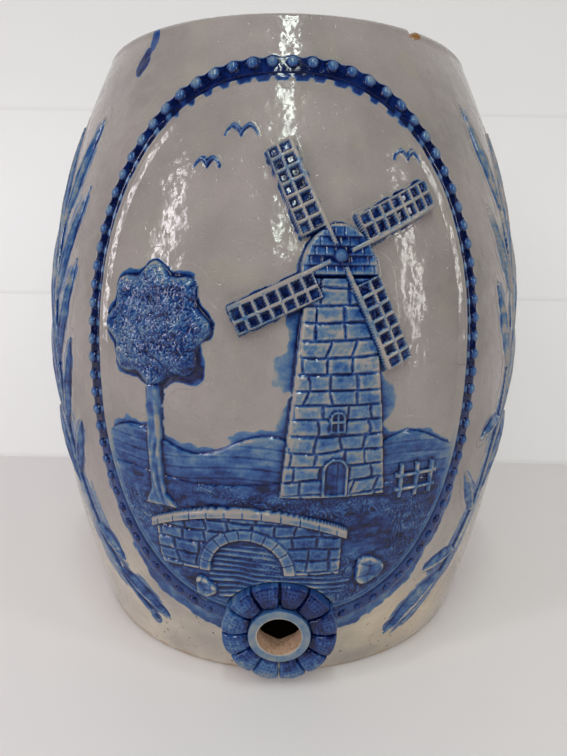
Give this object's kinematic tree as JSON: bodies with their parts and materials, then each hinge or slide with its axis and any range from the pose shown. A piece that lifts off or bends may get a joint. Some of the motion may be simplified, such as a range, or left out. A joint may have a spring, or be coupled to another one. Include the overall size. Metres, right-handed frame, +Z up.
{
  "type": "stoneware water cooler",
  "caption": "Barrel-shaped salt-glazed stoneware water cooler with a cobalt relief medallion, leaf sprays, a rosette around the tap hole and a lift-off lid with a knob.",
  "frame": {"origin": "middle of the flat underside", "axes": "+Z up along the vessel's axis, -Y out of the front where the medallion and the tap hole are, +X to the right seen from the front"},
  "size_m": [0.311, 0.3148, 0.3746],
  "materials": {
    "grey_salt_glaze": "glossy grey salt glaze over tan stoneware",
    "pale_cobalt": "thin cobalt wash under glossy glaze",
    "mid_cobalt": "cobalt wash under glossy glaze",
    "deep_cobalt": "thick cobalt under glossy glaze",
    "navy_cobalt": "pooled cobalt under glossy glaze",
    "collar_cobalt": "thin cobalt wash under glossy glaze"
  },
  "bodies": {
    "vessel": {"vessel_body": "grey_salt_glaze", "tap_rosette": "mid_cobalt", "tap_collar": "collar_cobalt", "bead_border": "navy_cobalt", "inner_fillet": "mid_cobalt", "ground": "mid_cobalt", "far_hills": "pale_cobalt", "stream": "pale_cobalt", "bridge": "mid_cobalt", "bridge_parapet": "pale_cobalt", "left_rock": "mid_cobalt", "right_rock": "mid_cobalt", "rail_fence": "deep_cobalt", "tree_trunk": "deep_cobalt", "tree_crown": "deep_cobalt", "mill_tower": "pale_cobalt", "mill_cap": "deep_cobalt", "mill_hub": "navy_cobalt", "mill_sail_1": "mid_cobalt", "mill_sail_2": "mid_cobalt", "mill_sail_3": "mid_cobalt", "mill_sail_4": "mid_cobalt", "mill_door": "navy_cobalt", "mill_window": "navy_cobalt", "bird_1": "deep_cobalt", "bird_2": "deep_cobalt", "bird_3": "deep_cobalt", "left_stem": "mid_cobalt", "right_stem": "mid_cobalt", "left_leaf_1": "pale_cobalt", "left_leaf_2": "pale_cobalt", "left_leaf_3": "pale_cobalt", "left_leaf_4": "pale_cobalt", "left_leaf_5": "pale_cobalt", "left_leaf_6": "pale_cobalt", "left_leaf_7": "pale_cobalt", "left_leaf_8": "pale_cobalt", "left_leaf_9": "pale_cobalt", "left_leaf_10": "pale_cobalt", "left_leaf_11": "pale_cobalt", "right_leaf_1": "pale_cobalt", "right_leaf_2": "pale_cobalt", "right_leaf_3": "pale_cobalt", "right_leaf_4": "pale_cobalt", "right_leaf_5": "pale_cobalt", "right_leaf_6": "pale_cobalt", "right_leaf_7": "pale_cobalt", "right_leaf_8": "pale_cobalt", "right_leaf_9": "pale_cobalt", "right_leaf_10": "pale_cobalt", "right_leaf_11": "pale_cobalt"},
    "lid": {"lid": "grey_salt_glaze", "lid_knob": "grey_salt_glaze"}
  },
  "joints": [
    {"name": "lid_lift", "type": "slide", "parent": "vessel", "child": "lid", "axis": [0, 0, 1], "range_m": [0, 0.12]}
  ]
}
